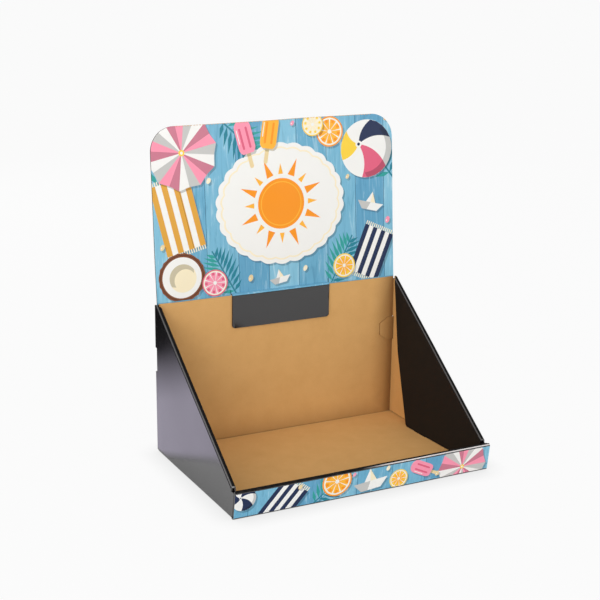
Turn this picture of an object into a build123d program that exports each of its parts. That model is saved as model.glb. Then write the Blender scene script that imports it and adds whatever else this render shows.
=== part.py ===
from build123d import *
import os
from math import cos, radians, sin

# Counter display box: a tray folded from one die-cut sheet of thin corrugated board, and a printed
# header card hooked over its back wall. Millimetres, +Z up, +Y to the back, origin under the middle
# of the base.

# Board and folds
board = 1.6  # thickness of the sheet
air = 0.3  # space left between two layers that lie on each other
crease = 0.6  # inner radius of a fold
lap = 2.0  # how far the strip of a fold runs on into the panels that it joins
overrun = 5.0  # how far a trimming shape reaches past what it trims

# Tray
tray_width = 300.0
tray_depth = 202.0
wall_height = 168.0  # back wall
lip_height = 31.0  # front lip, along its rake
lip_rake = 8.0  # degrees that the lip leans forward
side_front_height = 33.5  # where the sloped side starts, behind the lip
side_front_setback = 6.5  # from the front edge of the base
side_rear_flat = 5.4  # level stretch of the side's top edge at the back wall
side_end_radius = 9.0  # rounded front end of the sloped side
side_spring = 4.5  # degrees that the inner side panel stands off

# Inner side panel
inner_rear_gap_top = 5.0  # from the back wall to the panel, at the slope
inner_rear_gap_middle = 24.5  # the same, at half the height of the wall
inner_rear_gap_base = 55.0  # the same, at the base
inner_corner_radius = 5.0
inner_front_gap = 1.0  # from the lip's inner panel
base_tab_width = 22.0
base_tab_setback = 28.4  # from the panel's rear foot forward to the middle of its base tab
base_tab_end = 0.4  # height of the tab's end above the underside of the base

# Flaps that are caught between two layers
dust_flap_length = 74.0
dust_flap_drop = 2.4  # below the fold of the side
dust_flap_lean = 12.0  # how far the free edge slants
corner_flap_length = 52.0
corner_flap_cut = 7.0

# Lock tab of each side, put through the rear corner
lock_length = 20.5
lock_height = 27.0
lock_middle = 106.5  # height above the ground
lock_cut = 6.5
lock_cut_length = 10.0

# Header card
header_width = 294.0
header_rise = 190.0  # above the back wall, along its lean
header_lean = 4.75  # degrees that it leans back
header_radius = 27.0
header_tab_width = 121.0
header_tab_drop = 37.5
header_tab_radius = 3.5
header_slit = 0.6  # width of the cut beside the tab
header_slit_rise = 5.0  # how far the cut runs up above the wall
ear_drop = 38.0
ear_radius = 8.0

# Worked out from the sizes above
half = board / 2
fold = crease + half  # radius of a fold at the middle of the board
fold_outside = crease + board
layer = board + air
half_width = tray_width / 2
front = -tray_depth / 2
back = tray_depth / 2
rake_sin = sin(radians(lip_rake))
rake_cos = cos(radians(lip_rake))
rake_up = Vector(0, -rake_sin, rake_cos)
rake_in = Vector(0, rake_cos, rake_sin)
slope_front = Vector(0, front + side_front_setback, side_front_height)
slope_rear = Vector(0, back - side_rear_flat, wall_height)
slope_way = (slope_rear - slope_front).normalized()
slope_rate = slope_way.Z / slope_way.Y
side_middle_x = half_width - half
flap_middle_x = side_middle_x - layer
roll = 2 * layer  # from the outer to the inner layer of a rolled edge
back_flat_half = flap_middle_x - fold
base_flat_half = half_width - fold_outside
base_rear = back - fold_outside
lock_low = lock_middle - lock_height / 2
lock_high = lock_middle + lock_height / 2
lock_y = back - layer - half
inner_rear_foot = back - board - inner_rear_gap_base
base_tab_place = inner_rear_foot - base_tab_setback
corner_flap_depth = layer + half  # middle of the corner flap behind the lip's outer face
corner_flap_top = lip_height - fold_outside - air  # along the rake, under the lip's rolled edge
lip_fold_end = front + fold + half + lap  # where the strip of the lip's lower fold ends on the base


def bent(points):
    """Section of the sheet folded along a chain of points at the middle of its thickness."""
    return trace(FilletPolyline(*points, radius=fold), board)


def between(section, plane, low, high):
    """A section on a plane, drawn out from one distance to another along the plane's normal."""
    return extrude(plane.offset(low) * section, high - low)


def side_view(outline, low, high):
    """A shape seen from the side, outline given as (y, z), from x = low to x = high."""
    return between(outline, Plane.YZ, low, high)


def slope_at(y):
    """Height of the sloped side's top at a place along the depth."""
    return slope_front.Z + (y - slope_front.Y) * slope_rate


def lip_point(up, inward):
    """(y, z) of a point given along the lip and inward from its outer face."""
    place = Vector(0, front, 0) + rake_up * up + rake_in * inward
    return (place.Y, place.Z)


def polygon(points, rounded=(), radius=0.0):
    """A filled outline of straight edges, with some of its corners rounded."""
    face = make_face(Polyline(*points, close=True))
    if not rounded:
        return face
    picked = [face.vertices().sort_by_distance(Vector(*points[i], 0))[0] for i in rounded]
    return fillet(picked, radius)


def base_and_back():
    """The base, the back wall and the fold between them, which runs on to the corners of the base."""
    wall_y = back - half
    section = bent([(wall_y, wall_height), (wall_y, half), (base_rear - lap, half)])
    wall = side_view(section, -back_flat_half, back_flat_half)
    heel_front = base_rear - lap
    heel_outline = polygon([(heel_front, 0), (back, 0), (back, fold_outside), (heel_front, fold_outside)])
    heel_room = side_view(heel_outline, -base_flat_half, base_flat_half)
    heel = side_view(section, -half_width, half_width) & heel_room
    base_front = lip_fold_end - lap
    base = side_view(polygon([(base_front, 0), (base_rear, 0), (base_rear, board), (base_front, board)]),
                     -base_flat_half, base_flat_half)
    return wall + heel + base


def front_lip():
    """The raked lip: outer panel over the whole width, rolled over to an inner panel."""
    foot_up = half * (1 - rake_sin) / rake_cos
    foot = lip_point(foot_up, half)
    top_up = lip_height - half
    outer = bent([(lip_fold_end, half), foot, lip_point(top_up, half), lip_point(top_up, half + roll / 2)])
    low_up = (layer + board + half * rake_sin - (half + roll) * rake_sin) / rake_cos
    inner = bent([lip_point(top_up, half + roll / 2), lip_point(top_up, half + roll),
                  lip_point(low_up, half + roll)])
    inner_half = half_width - layer
    return side_view(outer, -half_width, half_width) + side_view(inner, -inner_half, inner_half)


def side_fold(thickness):
    """The long strip of a side: outer leg, rolled slope and inner leg, along the slope."""
    plane = Plane(slope_rear, x_dir=(1, 0, 0), z_dir=-slope_way)
    legs = wall_height
    inner_x = side_middle_x - roll
    turn = radians(side_spring)
    path = FilletPolyline((side_middle_x, -legs), (side_middle_x, -half), (inner_x, -half),
                          (inner_x - legs * sin(turn), -half - legs * cos(turn)), radius=fold)
    length = (slope_rear - slope_front).length
    return between(trace(path, thickness), plane, -legs, length + legs)


def outer_outline():
    """Outline of the outer side panel, with the notch that the lock tab leaves in its rear edge."""
    notch = lock_y - fold
    start = slope_front.Y
    end = slope_rear.Y
    return polygon([
        (start, slope_at(start) + overrun), (start, fold_outside), (back, fold_outside),
        (back, lock_low - air), (notch, lock_low - air), (notch, lock_high + air), (back, lock_high + air),
        (back, wall_height), (end, wall_height), (end, slope_at(end) + overrun),
    ], rounded=[0], radius=side_end_radius)


def side_cheek():
    """Stretch of the right outer side panel in front of the slope, as high as the corner flap."""
    panel_front = corner_flap_depth + fold
    behind = slope_front.Y + lap
    top = lip_point(corner_flap_top, panel_front)
    outline = polygon([lip_point(fold_outside, panel_front), (behind, fold_outside), (behind, top[1]), top])
    return side_view(outline, half_width - board, half_width)


def inner_outline():
    """Outline of the inner side panel: slanted rear edge with a knee, base tab, raked front."""
    low = board + air
    rear_top = back - board - inner_rear_gap_top
    rear_knee = back - board - inner_rear_gap_middle
    panel_front = roll + board + inner_front_gap
    front_y = max(slope_front.Y, lip_point(side_front_height, panel_front)[0])
    tab_rear = base_tab_place + base_tab_width / 2
    tab_front = base_tab_place - base_tab_width / 2
    above = slope_at(rear_top) + overrun
    return polygon([
        lip_point(low / rake_cos, panel_front), (tab_front, low), (tab_front, base_tab_end),
        (tab_rear, base_tab_end), (tab_rear, low), (inner_rear_foot, low), (rear_knee, wall_height / 2),
        (rear_top, slope_at(rear_top)), (rear_top, above), (front_y, slope_at(front_y) + overrun),
        (front_y, side_front_height - overrun),
    ], rounded=[5], radius=inner_corner_radius)


def side_wall():
    """The right side: both panels, rolled over the slope, and the fold at the base."""
    split = side_middle_x - roll / 2
    strip = side_fold(board)
    outer = strip & side_view(outer_outline(), split, half_width + overrun)
    inner = strip & side_view(inner_outline(), 0, split)
    foot_front = lip_fold_end + air
    section = bent([(side_middle_x, fold_outside + lap), (side_middle_x, half), (base_flat_half - lap, half)])
    foot = between(section, Plane.XZ, -base_rear, -foot_front)
    return outer + side_cheek() + inner + foot


def base_slot():
    """Room in the base for the tab of the right inner side panel."""
    reach = base_tab_width / 2 + air
    window = polygon([(base_tab_place - reach, -overrun), (base_tab_place + reach, -overrun),
                      (base_tab_place + reach, layer), (base_tab_place - reach, layer)])
    return side_fold(board + 2 * air) & side_view(window, 0, side_middle_x - roll / 2)


def dust_flap():
    """Flap of the back wall, turned forward between the two panels of the right side."""
    end = back - dust_flap_length
    low = fold_outside + air
    wall_y = back - half
    section = bent([(back_flat_half - lap, wall_y), (flap_middle_x, wall_y), (flap_middle_x, end)])
    strip = between(section, Plane.XY, low, wall_height)
    drop = dust_flap_drop / slope_way.Y
    level = wall_height - dust_flap_drop
    crest = slope_rear.Y + (drop - dust_flap_drop) / slope_rate
    outline = polygon([(end + dust_flap_lean, low), (back, low), (back, level), (crest, level),
                       (end, slope_at(end) - drop), (end, slope_at(end) - drop - dust_flap_lean)])
    slot_in = lock_y - half - air - crease
    slot = polygon([(back_flat_half, slot_in), (half_width, slot_in), (half_width, back),
                    (back_flat_half, back)])
    trimmed = strip & side_view(outline, 0, half_width)
    return trimmed - between(slot, Plane.XY, lock_low - air, lock_high + air)


def lock_tab():
    """Tab of the outer side panel, put through the corner and laid on the back wall."""
    root = lock_y - fold - lap
    end = side_middle_x - lock_length
    section = bent([(side_middle_x, root), (side_middle_x, lock_y), (end, lock_y)])
    tab = between(section, Plane.XY, lock_low, lock_high)
    tip = tab.edges().filter_by(Axis.Y).group_by(Axis.X)[0]
    tip_face = tab.faces().sort_by(Axis.X)[0]
    return chamfer(tip, lock_cut, lock_cut_length, reference=tip_face)


def corner_flap():
    """Flap of the outer side panel, turned inward between the two panels of the lip."""
    plane = Plane((0, front, 0), x_dir=(1, 0, 0), z_dir=rake_up)
    end = side_middle_x - corner_flap_length
    section = bent([(side_middle_x, corner_flap_depth + fold + lap), (side_middle_x, corner_flap_depth),
                    (end, corner_flap_depth)])
    flap = between(section, plane, fold_outside + air, corner_flap_top)
    tip = flap.edges().filter_by(Axis(plane.origin, rake_in)).group_by(Axis.X)[0]
    return chamfer(tip, corner_flap_cut)


def display_tray():
    """The whole folded sheet as one solid."""
    right = side_wall() + dust_flap() + lock_tab() + corner_flap()
    slot = base_slot()
    sheet = base_and_back() - slot - mirror(slot, Plane.YZ)
    return sheet + front_lip() + right + mirror(right, Plane.YZ)


def header_card():
    """The card: leaning panel, a tab cranked over the wall's top edge and two ears behind the wall."""
    ear_y = back + air + half
    tab_y = back - layer - half
    over = wall_height + air + half
    lean_up = Vector(0, sin(radians(header_lean)), cos(radians(header_lean)))
    plane = Plane((0, ear_y, over), x_dir=(1, 0, 0), z_dir=Vector(1, 0, 0).cross(lean_up))
    header_half = header_width / 2
    tab_half = header_tab_width / 2
    joint = Vector(0, ear_y, over) + lean_up * (header_slit_rise + fold)
    joint_point = (joint.Y, joint.Z)

    top = header_rise - air - half
    panel = between(polygon([(-header_half, header_slit_rise), (header_half, header_slit_rise),
                             (header_half, top), (-header_half, top)], rounded=[2, 3], radius=header_radius),
                    plane, -half, half)
    tab = side_view(bent([(tab_y, wall_height - header_tab_drop), (tab_y, over), (ear_y, over), joint_point]),
                    -tab_half, tab_half)
    tab = fillet(tab.edges().filter_by(Axis.Y).group_by(Axis.Z)[0], header_tab_radius)
    ear = side_view(bent([(ear_y, wall_height - ear_drop), (ear_y, over), joint_point]),
                    tab_half + header_slit, header_half)
    ear = fillet(ear.edges().filter_by(Axis.Y).group_by(Axis.Z)[0], ear_radius)
    return panel + tab + ear + mirror(ear, Plane.YZ)


os.makedirs("parts", exist_ok=True)
for name, made in {"display_tray": display_tray(), "header_card": header_card()}.items():
    export_step(made, f"parts/{name}.step")
    print(name, len(made.solids()), "solid, volume", round(made.volume))
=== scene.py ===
import math

import bmesh
import bpy
from mathutils import Matrix, Vector, noise
from mathutils.geometry import delaunay_2d_cdt


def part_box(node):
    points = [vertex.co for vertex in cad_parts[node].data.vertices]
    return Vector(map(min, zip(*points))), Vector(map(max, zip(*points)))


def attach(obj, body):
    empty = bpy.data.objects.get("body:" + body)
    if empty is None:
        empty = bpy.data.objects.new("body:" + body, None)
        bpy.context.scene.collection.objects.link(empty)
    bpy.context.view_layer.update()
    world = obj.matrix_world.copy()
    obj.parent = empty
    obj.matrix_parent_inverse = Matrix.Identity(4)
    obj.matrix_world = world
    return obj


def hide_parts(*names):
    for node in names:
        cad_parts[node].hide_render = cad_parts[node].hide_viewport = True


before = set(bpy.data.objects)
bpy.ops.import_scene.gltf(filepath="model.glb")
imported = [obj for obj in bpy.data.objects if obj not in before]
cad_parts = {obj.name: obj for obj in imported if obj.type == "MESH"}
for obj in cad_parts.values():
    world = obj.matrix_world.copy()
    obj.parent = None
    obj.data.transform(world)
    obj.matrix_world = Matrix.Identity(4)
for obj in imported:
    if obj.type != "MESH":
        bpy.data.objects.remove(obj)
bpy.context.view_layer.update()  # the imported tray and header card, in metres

scene = bpy.context.scene
scene.view_settings.view_transform = "Standard"
mm = 0.001
flutePitch = 0.0034  # one wave of the paper inside the board
boardThickness = 0.0016


# small helpers

def tint(code):  # "#rrggbb" as it looks on screen, to scene colour
    parts = [int(code[i:i + 2], 16) / 255 for i in (1, 3, 5)]
    return tuple(p / 12.92 if p < 0.04045 else ((p + 0.055) / 1.055) ** 2.4 for p in parts) + (1.0,)


def addNode(tree, kind, sockets=None, **settings):  # sockets: name or number -> value or other socket
    node = tree.nodes.new(kind)
    for name, value in settings.items():
        setattr(node, name, value)
    for name, value in (sockets or {}).items():
        if isinstance(value, bpy.types.NodeSocket):
            tree.links.new(value, node.inputs[name])
        else:
            node.inputs[name].default_value = value
    return node


def calc(tree, operation, *values):
    return addNode(tree, "ShaderNodeMath", dict(enumerate(values)), operation=operation).outputs[0]


def blendColour(tree, share, first, second):  # 6 and 7 are this node's two colour sockets
    return addNode(tree, "ShaderNodeMix", {0: share, 6: first, 7: second}, data_type="RGBA").outputs[2]


def ramp(tree, value, low, high, toLow=0.0, toHigh=1.0):
    ends = {"From Min": low, "From Max": high, "To Min": toLow, "To Max": toHigh}
    return addNode(tree, "ShaderNodeMapRange", {"Value": value, **ends}).outputs[0]


def readValue(tree, name):  # a number that the mesh carries
    return addNode(tree, "ShaderNodeAttribute", attribute_name=name).outputs["Fac"]


def objectPlace(tree):
    return addNode(tree, "ShaderNodeTexCoord").outputs["Object"]


def noiseAt(tree, place, scale, settings):
    return addNode(tree, "ShaderNodeTexNoise", {"Vector": place, "Scale": scale, **settings}).outputs["Fac"]


def newGroup(name, inputs, outputs):
    tree = bpy.data.node_groups.new(name, "ShaderNodeTree")
    for title, start in inputs.items():
        socket = tree.interface.new_socket(title, in_out="INPUT", socket_type="NodeSocketFloat")
        socket.default_value = start
    for title in outputs:
        tree.interface.new_socket(title, in_out="OUTPUT", socket_type="NodeSocketFloat")
    return tree, tree.nodes.new("NodeGroupInput").outputs, tree.nodes.new("NodeGroupOutput").inputs


def useGroup(tree, group, values):
    return addNode(tree, "ShaderNodeGroup", values, node_tree=group).outputs


def newMaterial(name, fixed):  # fixed: plain numbers on the shader's own sockets
    mat = bpy.data.materials.new(name)
    mat.use_nodes = True
    shader = mat.node_tree.nodes["Principled BSDF"]
    for title, value in fixed.items():
        shader.inputs[title].default_value = value
    return mat, mat.node_tree, shader


def emptyTree(owner):  # of a material or a world
    owner.use_nodes = True
    owner.node_tree.nodes.clear()
    return owner.node_tree


# shared effects

fibreLook = {"cloud": {"Detail": 5.0, "Roughness": 0.62}, "cloudSpan": (0.32, 0.68),
             "fine": {"Detail": 3.0, "Distortion": 1.6}, "fleckSpan": (0.58, 0.72)}


def makeFibreGroup():  # mottling and flecks of paper fibre
    sizes = {"Mottle Size": 60.0, "Fibre Size": 900.0}
    tree, given, out = newGroup("paperFibre", sizes, ["Mottle", "Fleck", "Height"])
    place = objectPlace(tree)
    cloud = noiseAt(tree, place, given["Mottle Size"], fibreLook["cloud"])
    fine = noiseAt(tree, place, given["Fibre Size"], fibreLook["fine"])
    tree.links.new(ramp(tree, cloud, *fibreLook["cloudSpan"]), out["Mottle"])
    tree.links.new(ramp(tree, fine, *fibreLook["fleckSpan"]), out["Fleck"])
    tree.links.new(fine, out["Height"])
    return tree


washLook = {"swing": 0.5, "grainSize": 420.0, "grain": {"Detail": 4.0}}


def makeWashGroup():  # the washboard of the flutes, seen through the liner
    tree, given, out = newGroup("fluteWash", {"Pitch": flutePitch, "Fibre": 0.25}, ["Height"])
    waves = calc(tree, "DIVIDE", readValue(tree, "flutePhase"), given["Pitch"])
    swell = calc(tree, "SINE", calc(tree, "MULTIPLY", waves, math.tau))
    grain = noiseAt(tree, objectPlace(tree), washLook["grainSize"], washLook["grain"])
    wave = calc(tree, "MULTIPLY", swell, washLook["swing"])
    tree.links.new(calc(tree, "MULTIPLY_ADD", grain, given["Fibre"], wave), out["Height"])
    return tree


wearLook = {"patch": {"Detail": 4.0}, "patchSpan": (0.42, 0.66)}


def makeWearGroup():  # rubbed film along the folds
    tree, given, out = newGroup("foldWear", {"Amount": 0.5, "Patch Size": 160.0}, ["Worn"])
    patch = noiseAt(tree, objectPlace(tree), given["Patch Size"], wearLook["patch"])
    broken = ramp(tree, patch, *wearLook["patchSpan"])
    worn = calc(tree, "MULTIPLY", readValue(tree, "foldShadeAndWear"), broken)
    tree.links.new(calc(tree, "MULTIPLY", worn, given["Amount"]), out["Worn"])
    return tree


fibreGroup = makeFibreGroup()
washGroup = makeWashGroup()
wearGroup = makeWearGroup()


def bumpFrom(tree, shader, height, strength, distance):
    bump = addNode(tree, "ShaderNodeBump", {"Height": height, "Strength": strength, "Distance": distance})
    tree.links.new(bump.outputs[0], shader.inputs["Normal"])


def washBump(tree, shader, look):  # flutes and grain stand out a little
    wash = useGroup(tree, washGroup, {"Fibre": look["grain"]})
    bumpFrom(tree, shader, wash["Height"], look["bump"], look["washDepth"])


# crease is the colour of the painted shade in the kraft's folds, creases and inner corners
kraftLook = {"pale": "#d9a96a", "deep": "#d4a465", "fleck": "#a27543", "crease": "#6f4a22",
             "fleckShare": 0.22, "creaseShare": 0.7, "cornerShadeShare": 0.42, "cornerShadeCurve": 1.6,
             "paper": {"Mottle Size": 42.0, "Fibre Size": 1150.0}, "rough": (0.66, 0.8), "specular": 0.28,
             "grain": 0.5, "bump": 0.5, "washDepth": 0.00005}


def makeKraft():
    mat, tree, shader = newMaterial("kraftLiner", {"Specular IOR Level": kraftLook["specular"]})
    fibre = useGroup(tree, fibreGroup, kraftLook["paper"])
    ground = blendColour(tree, fibre["Mottle"], tint(kraftLook["pale"]), tint(kraftLook["deep"]))
    flecks = calc(tree, "MULTIPLY", fibre["Fleck"], kraftLook["fleckShare"])
    flecked = blendColour(tree, flecks, ground, tint(kraftLook["fleck"]))
    # painted shade: darker along bent folds and creases, and in the inner corners of wall and base
    lines = calc(tree, "MULTIPLY", readValue(tree, "foldShadeAndWear"), kraftLook["creaseShare"])
    deepened = calc(tree, "POWER", readValue(tree, "cornerShade"), kraftLook["cornerShadeCurve"])
    dim = calc(tree, "MAXIMUM", lines, calc(tree, "MULTIPLY", deepened, kraftLook["cornerShadeShare"]))
    tree.links.new(blendColour(tree, dim, flecked, tint(kraftLook["crease"])), shader.inputs["Base Color"])
    tree.links.new(ramp(tree, fibre["Mottle"], 0.0, 1.0, *kraftLook["rough"]), shader.inputs["Roughness"])
    washBump(tree, shader, kraftLook)
    return mat


# rubbed is worn film; the pale colour after it is a painted highlight on the black print
blackLook = {"rubbed": "#5d5a58", "paintedHighlight": "#d8d3d2", "paper": {"Mottle Size": 28.0, "Fibre Size": 700.0},
             "filmIor": 1.6, "wornRough": 0.3, "grain": 0.06, "bump": 0.3, "washDepth": 0.00002}
blackKinds = {  # the same black print in three copies, outside, inside the tray and on top of the rolled edges; the inner two have less gloss and the ridge copy the darkest ink: shaded copies, painted shade
    "blackPrint": {"ink": "#110f10", "specular": 0.75, "film": 0.5, "rough": (0.17, 0.25), "wear": 0.15},
    "shadedRolledBlack": {"ink": "#181718", "specular": 0.12, "film": 0.0, "rough": (0.4, 0.5), "wear": 0.06},
    "shadedRidgeBlack": {"ink": "#0b0a0a", "specular": 0.06, "film": 0.0, "rough": (0.5, 0.6), "wear": 0.1},
}


def makeBlack(name):
    kind = blackKinds[name]
    film, rough = kind["film"], kind["rough"]
    mat, tree, shader = newMaterial(name, {"Specular IOR Level": kind["specular"], "Coat Roughness": rough[0],
                                           "Coat IOR": blackLook["filmIor"]})
    fibre = useGroup(tree, fibreGroup, blackLook["paper"])
    worn = useGroup(tree, wearGroup, {"Amount": kind["wear"]})["Worn"]
    inked = blendColour(tree, worn, tint(kind["ink"]), tint(blackLook["rubbed"]))
    # painted highlight: a pale colour mixed into the print on some folds
    shown = blendColour(tree, readValue(tree, "paintedFoldHighlight"), inked, tint(blackLook["paintedHighlight"]))
    tree.links.new(shown, shader.inputs["Base Color"])
    gloss = ramp(tree, fibre["Mottle"], 0.0, 1.0, *rough)
    dulled = calc(tree, "MULTIPLY_ADD", worn, blackLook["wornRough"], gloss)
    tree.links.new(dulled, shader.inputs["Roughness"])
    tree.links.new(calc(tree, "MULTIPLY_ADD", worn, -film, film), shader.inputs["Coat Weight"])
    washBump(tree, shader, blackLook)
    return mat


inkLook = {"rubbed": "#e9e4da", "wear": 0.6, "paper": {"Mottle Size": 30.0, "Fibre Size": 800.0},
           "rough": (0.34, 0.46), "film": (0.14, 0.08), "specular": 0.24, "filmRough": 0.22, "filmIor": 1.45,
           "grain": 0.2, "bump": 0.3, "washDepth": 0.00003}
woodLook = {"stretch": (230.0, 230.0, 9.0), "streak": {"Detail": 6.0, "Roughness": 0.66, "Distortion": 0.7},
            "darkSpan": (0.54, 0.74), "darkShare": 0.5, "dark": "#2f6f93",
            "lightSpan": (0.46, 0.3), "lightShare": 0.55, "light": "#c3e0ea"}


def makeInk():
    mat, tree, shader = newMaterial("pictureInk", {"Specular IOR Level": inkLook["specular"],
                                                   "Coat Roughness": inkLook["filmRough"],
                                                   "Coat IOR": inkLook["filmIor"]})
    shown = addNode(tree, "ShaderNodeAttribute", attribute_name="ink").outputs["Color"]
    wood = readValue(tree, "wood")
    sockets = {"Vector": objectPlace(tree), "Scale": woodLook["stretch"]}
    stretched = addNode(tree, "ShaderNodeMapping", sockets).outputs[0]
    streak = noiseAt(tree, stretched, 1.0, woodLook["streak"])
    for shade in ("dark", "light"):  # grain of the painted boards
        share = calc(tree, "MULTIPLY", ramp(tree, streak, *woodLook[shade + "Span"]), wood)
        share = calc(tree, "MULTIPLY", share, woodLook[shade + "Share"])
        shown = blendColour(tree, share, shown, tint(woodLook[shade]))
    worn = useGroup(tree, wearGroup, {"Amount": inkLook["wear"]})["Worn"]
    tree.links.new(blendColour(tree, worn, shown, tint(inkLook["rubbed"])), shader.inputs["Base Color"])
    fibre = useGroup(tree, fibreGroup, inkLook["paper"])
    tree.links.new(ramp(tree, fibre["Mottle"], 0.0, 1.0, *inkLook["rough"]), shader.inputs["Roughness"])
    tree.links.new(ramp(tree, fibre["Mottle"], 0.0, 1.0, *inkLook["film"]), shader.inputs["Coat Weight"])
    washBump(tree, shader, inkLook)
    return mat


# hollow is painted shade in the gaps between the flutes; liner and medium are a darker brown than the kraft
# faces
edgeLook = {"liner": "#4c3621", "medium": "#402c19", "hollow": "#1b130b", "swing": 0.5,
            "linerSpan": (0.6, 0.72), "mediumSpan": (0.39, 0.21), "paper": {"Fibre Size": 1500.0},
            "fibreSpan": (0.3, 0.7), "rough": (0.78, 0.92), "specular": 0.2, "grain": 0.2, "bump": 0.6,
            "depth": 0.0003}


def makeEdge():  # the cut board: two liners and the wave between them
    mat, tree, shader = newMaterial("cutEdge", {"Specular IOR Level": edgeLook["specular"]})
    across = readValue(tree, "across")
    turn = calc(tree, "MULTIPLY", readValue(tree, "flutePhase"), math.tau / flutePitch)
    wave = calc(tree, "MULTIPLY", calc(tree, "SINE", turn), edgeLook["swing"])
    off = calc(tree, "ABSOLUTE", calc(tree, "SUBTRACT", across, wave))
    medium = ramp(tree, off, *edgeLook["mediumSpan"])
    liner = ramp(tree, calc(tree, "ABSOLUTE", across), *edgeLook["linerSpan"])
    between = blendColour(tree, medium, tint(edgeLook["hollow"]), tint(edgeLook["medium"]))
    tree.links.new(blendColour(tree, liner, between, tint(edgeLook["liner"])), shader.inputs["Base Color"])
    fibre = useGroup(tree, fibreGroup, edgeLook["paper"])
    rough = ramp(tree, fibre["Height"], *edgeLook["fibreSpan"], *edgeLook["rough"])
    tree.links.new(rough, shader.inputs["Roughness"])
    solid = calc(tree, "MAXIMUM", medium, liner)
    height = calc(tree, "MULTIPLY_ADD", fibre["Height"], edgeLook["grain"], solid)
    bumpFrom(tree, shader, height, edgeLook["bump"], edgeLook["depth"])
    return mat


black, shadedRolledBlack, shadedRidgeBlack = (makeBlack(name) for name in blackKinds)
picture, kraft, cutEdge = makeInk(), makeKraft(), makeEdge()
boardMaterials = [black, picture, kraft, cutEdge, shadedRolledBlack, shadedRidgeBlack]
blackSlot, pictureSlot, kraftSlot, edgeSlot, rolledSlot, ridgeSlot = range(len(boardMaterials))
print("materials ready:", [m.name for m in boardMaterials])


# print: fields of colour, drawn in millimetres and cut into the face of the board

inks = {
    "plankA": "#74b2cd", "plankB": "#68a8c6", "plankC": "#82bcd4", "plankD": "#5f9fc0", "gap": "#27617f",
    "white": "#eeede9", "cream": "#f3e6c4", "orange": "#f5930f", "amber": "#f9b233", "pink": "#f493ab",
    "rose": "#de5f7d", "yellow": "#f6cf3f", "navy": "#14264a", "straw": "#e6cf9c", "brown": "#7d4424",
    "bark": "#56301b", "teal": "#1c7c8f", "leaf": "#2c9a94", "mustard": "#dba03a",
}
woodInks = ("plankA", "plankB", "plankC", "plankD")
shadowLook = {"shift": (1.9, -2.3), "depth": 0.62}


def polar(radius, angle):
    return (radius * math.cos(angle), radius * math.sin(angle))


def moved(spots, scale, shift=(0.0, 0.0)):
    return [(x * scale + shift[0], y * scale + shift[1]) for x, y in spots]


def disc(radius, at=(0, 0), points=44, squash=1.0):
    turns = [math.tau * k / points for k in range(points)]
    return [(at[0] + radius * math.cos(a), at[1] + radius * squash * math.sin(a)) for a in turns]


def arc(radius, start, end, points=7):
    return [polar(radius, start + (end - start) * k / points) for k in range(points + 1)]


def wedge(inner, outer, start, end):  # sector of a ring
    return arc(outer, start, end) + arc(inner, start, end)[::-1]


def bar(width, height, radius=0.0, at=(0, 0), points=5):  # rounded rectangle
    w, h = width / 2 - radius, height / 2 - radius
    if radius <= 0:
        return [(at[0] + x, at[1] + y) for x, y in ((-w, -h), (w, -h), (w, h), (-w, h))]
    spots = []
    for corner, (x, y) in enumerate(((w, h), (-w, h), (-w, -h), (w, -h))):
        for k in range(points + 1):
            a = math.pi / 2 * (corner + k / points)
            spots.append((at[0] + x + radius * math.cos(a), at[1] + y + radius * math.sin(a)))
    return spots


# Each motif is a list of (ink, outline), lowest first. The first outline throws the shadow.
# Numbers in a motif's dictionary are mostly shares of its size.

parasolLook = {"ribs": 10, "steps": 8, "sag": 0.075, "inks": ("pink", "white"), "cap": 0.085, "knob": 0.04}


def parasol(radius):
    ribs, steps, colours = (parasolLook[k] for k in ("ribs", "steps", "inks"))
    shares = [k / steps for k in range(steps + 1)]

    def cloth(k, part):  # it hangs in between two ribs
        hems = [radius * (1 - parasolLook["sag"] * math.sin(math.pi * s)) for s in part]
        return [polar(hem, (k + s) * (math.tau / ribs)) for hem, s in zip(hems, part)]

    layers = [(colours[0], [spot for k in range(ribs) for spot in cloth(k, shares[:-1])])]
    for k in range(ribs):
        layers.append((colours[k % 2], [(0.0, 0.0)] + cloth(k, shares)))
        layers.append(("shadow", [(0.0, 0.0)] + cloth(k, shares[steps // 2:])))
    return layers + [("yellow", disc(radius * parasolLook["cap"], points=16)),
                     ("white", disc(radius * parasolLook["knob"], points=12))]


ballLook = {"pole": (-0.22, 0.26), "bow": 0.13, "steps": 8, "shadeArc": (-1.9, 0.45), "shadeScale": 0.86,
            "shadeShift": 0.06, "cap": 0.12, "valve": 0.055}


def beachBall(radius, colours=("navy", "white", "yellow", "white", "rose", "white")):
    pole = tuple(radius * c for c in ballLook["pole"])
    shares = [k / ballLook["steps"] for k in range(ballLook["steps"] + 1)]

    def seam(a):  # from the pole to the rim, bowed
        way = [e - p for e, p in zip(polar(radius, a), pole)]
        side = (-way[1] * ballLook["bow"], way[0] * ballLook["bow"])
        return [tuple(pole[i] + way[i] * s + side[i] * 4 * s * (1 - s) for i in (0, 1)) for s in shares]

    layers = [("white", disc(radius))]
    for k, ink in enumerate(colours):
        a, b = math.tau * k / len(colours), math.tau * (k + 1) / len(colours)
        layers.append((ink, seam(a) + arc(radius, a, b, points=4)[1:-1] + seam(b)[:0:-1]))
    crescent = arc(radius, *ballLook["shadeArc"], points=16)
    shift = ballLook["shadeShift"] * radius
    inner = moved(crescent[::-1], ballLook["shadeScale"], (-shift, shift))
    return layers + [("shadow", crescent + inner), ("white", disc(radius * ballLook["cap"], pole, points=18)),
                     ("navy", disc(radius * ballLook["valve"], pole, points=14))]


citrusLook = {"parts": 9, "pith": 0.91, "white": 0.86, "gap": 0.05, "flesh": (0.14, 0.8), "rim": (0.58, 0.8),
              "rimGap": 0.16}


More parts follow.
